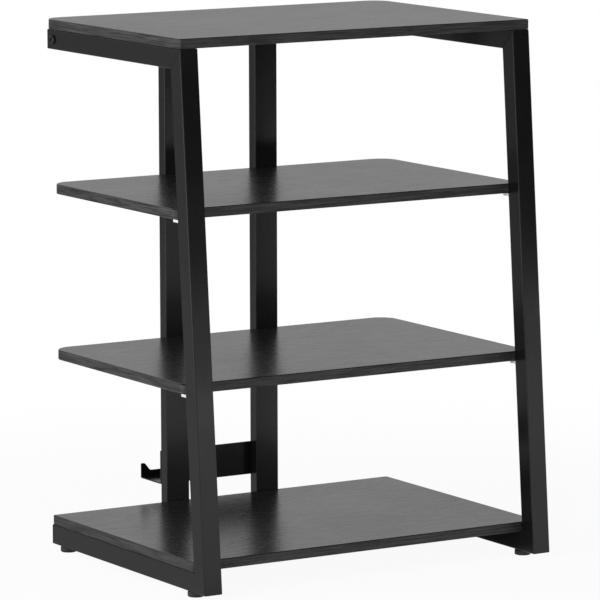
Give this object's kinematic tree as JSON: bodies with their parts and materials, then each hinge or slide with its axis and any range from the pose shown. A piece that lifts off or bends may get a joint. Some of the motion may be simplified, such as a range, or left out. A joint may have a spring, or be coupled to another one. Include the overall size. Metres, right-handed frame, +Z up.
{
  "type": "av stand",
  "caption": "Open black AV stand: wood-grain boards on leaning C-shaped square-tube side frames, with rear posts, a slotted cable tray and levelling feet.",
  "frame": {"origin": "centre of the bounding box's base, on the floor under the feet", "axes": "+Z up, -Y towards the front where the legs are, +X to the right seen from the front"},
  "size_m": [0.618, 0.5496, 0.8223],
  "materials": {
    "black_laminate": "black wood-grain laminate, satin",
    "black_powder_coat": "black powder coat, satin",
    "black_plastic": "black moulded plastic",
    "black_steel": "blackened steel fasteners",
    "bright_zinc": "bright zinc plate"
  },
  "bodies": {
    "stand": {"bottom_panel": "black_laminate", "cable_tray": "black_powder_coat", "left_bottom_end_cap": "black_plastic", "left_bottom_panel_screw_front": "black_steel", "left_bottom_panel_screw_rear": "black_steel", "left_bottom_post_bolt": "black_steel", "left_bottom_tube": "black_powder_coat", "left_cross_bolt": "black_steel", "left_front_foot_insert": "bright_zinc", "left_leg": "black_powder_coat", "left_lower_post_bolt": "black_steel", "left_post": "black_powder_coat", "left_post_head_bolt": "black_steel", "left_rear_foot_insert": "bright_zinc", "left_top_end_cap": "black_plastic", "left_top_panel_screw_front": "black_steel", "left_top_panel_screw_rear": "black_steel", "left_top_tube": "black_powder_coat", "left_tray_bolt": "black_steel", "left_upper_post_bolt": "black_steel", "lower_left_bracket": "bright_zinc", "lower_left_bracket_leg_screw": "black_steel", "lower_left_bracket_shelf_screw": "black_steel", "lower_right_bracket": "bright_zinc", "lower_right_bracket_leg_screw": "black_steel", "lower_right_bracket_shelf_screw": "black_steel", "lower_shelf": "black_laminate", "rear_cross_tube": "black_powder_coat", "right_bottom_end_cap": "black_plastic", "right_bottom_panel_screw_front": "black_steel", "right_bottom_panel_screw_rear": "black_steel", "right_bottom_post_bolt": "black_steel", "right_bottom_tube": "black_powder_coat", "right_cross_bolt": "black_steel", "right_front_foot_insert": "bright_zinc", "right_leg": "black_powder_coat", "right_lower_post_bolt": "black_steel", "right_post": "black_powder_coat", "right_post_head_bolt": "black_steel", "right_rear_foot_insert": "bright_zinc", "right_top_end_cap": "black_plastic", "right_top_panel_screw_front": "black_steel", "right_top_panel_screw_rear": "black_steel", "right_top_tube": "black_powder_coat", "right_tray_bolt": "black_steel", "right_upper_post_bolt": "black_steel", "top_panel": "black_laminate", "upper_left_bracket": "bright_zinc", "upper_left_bracket_leg_screw": "black_steel", "upper_left_bracket_shelf_screw": "black_steel", "upper_right_bracket": "bright_zinc", "upper_right_bracket_leg_screw": "black_steel", "upper_right_bracket_shelf_screw": "black_steel", "upper_shelf": "black_laminate"},
    "left_front_foot": {"left_front_foot": "black_plastic"},
    "left_rear_foot": {"left_rear_foot": "black_plastic"},
    "right_front_foot": {"right_front_foot": "black_plastic"},
    "right_rear_foot": {"right_rear_foot": "black_plastic"}
  },
  "joints": [
    {"name": "left_front_foot_turn", "type": "hinge", "parent": "stand", "child": "left_front_foot", "pos_m": [-0.29, -0.2228, 0.01], "axis": [0, 0, 1], "continuous": true},
    {"name": "left_rear_foot_turn", "type": "hinge", "parent": "stand", "child": "left_rear_foot", "pos_m": [-0.29, 0.1682, 0.01], "axis": [0, 0, 1], "continuous": true},
    {"name": "right_front_foot_turn", "type": "hinge", "parent": "stand", "child": "right_front_foot", "pos_m": [0.29, -0.2228, 0.01], "axis": [0, 0, 1], "continuous": true},
    {"name": "right_rear_foot_turn", "type": "hinge", "parent": "stand", "child": "right_rear_foot", "pos_m": [0.29, 0.1682, 0.01], "axis": [0, 0, 1], "continuous": true}
  ]
}
